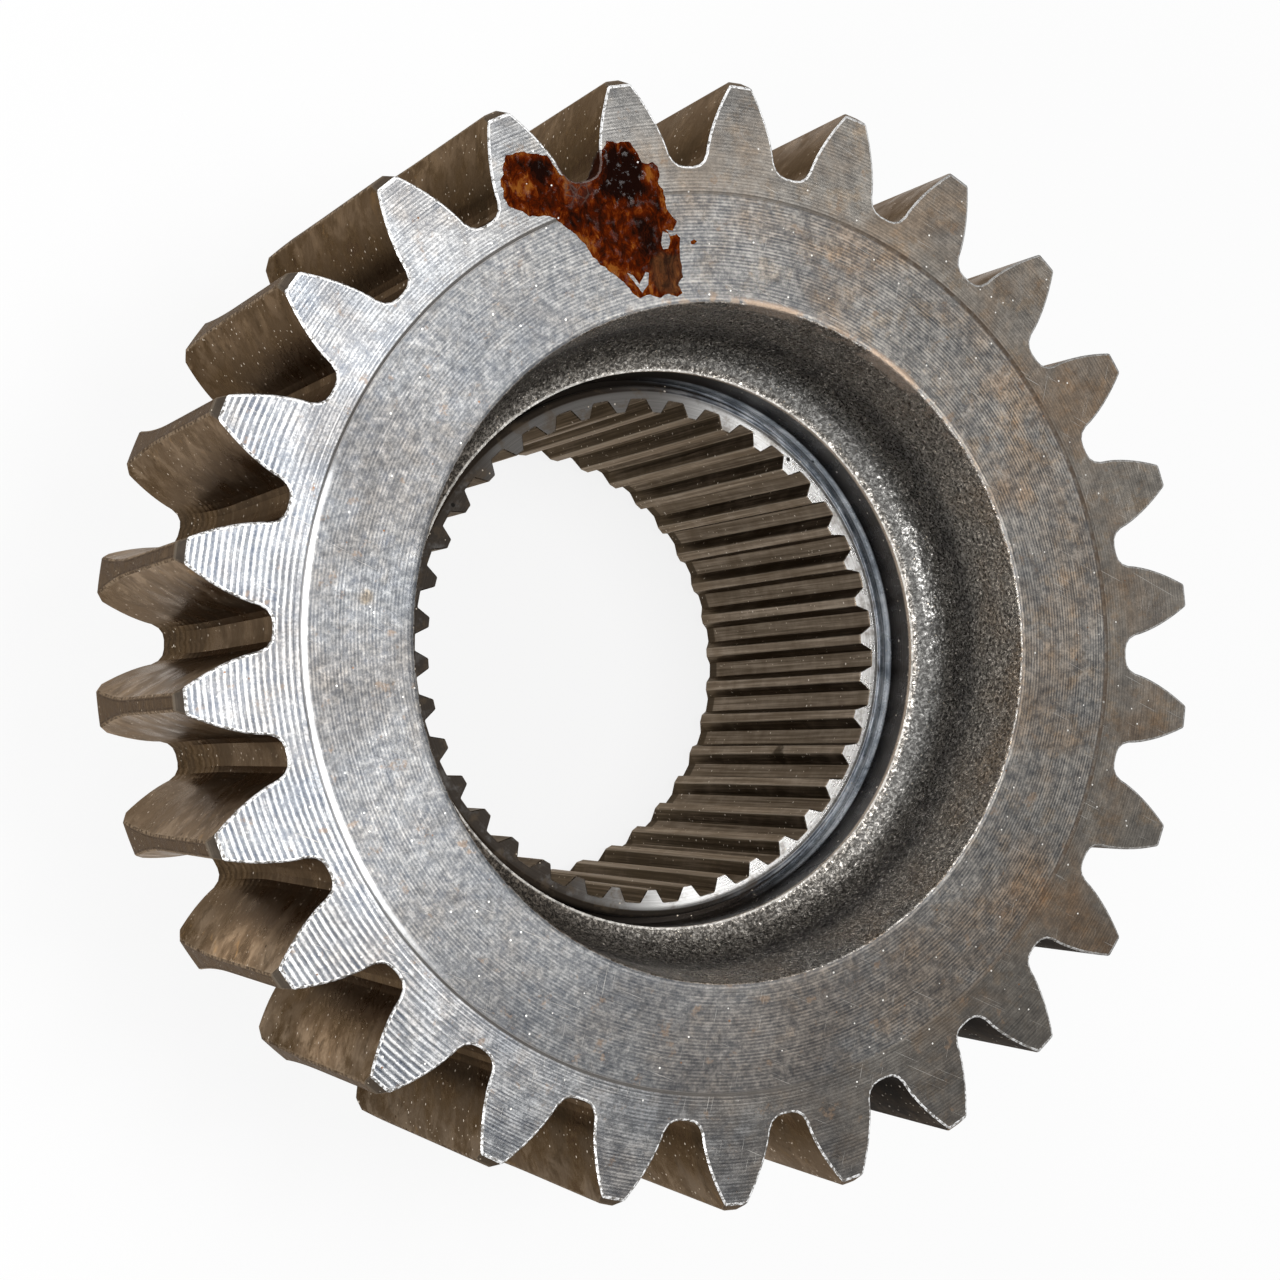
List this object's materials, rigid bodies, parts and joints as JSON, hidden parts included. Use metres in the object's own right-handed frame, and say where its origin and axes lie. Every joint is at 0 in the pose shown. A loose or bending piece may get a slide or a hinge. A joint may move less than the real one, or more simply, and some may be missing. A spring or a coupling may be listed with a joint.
{
  "type": "reverse gear",
  "caption": "Straight-cut steel gear with a toothed rim, a deep coved recess in the front face and an internally splined hub that runs on behind the rim.",
  "frame": {"origin": "centre of the rear end of the hub, where the gear rests when it lies flat", "axes": "+Z along the gear's axis, from the rear end of the hub up to the recessed front face; one tooth is centred on +Y"},
  "size_m": [0.1674, 0.168, 0.09],
  "materials": {
    "steel": "turned and milled steel, worn and stained, with brown tooth flanks and a dark rough recess"
  },
  "bodies": {
    "root": {"reverse_gear": "steel"}
  },
  "joints": []
}
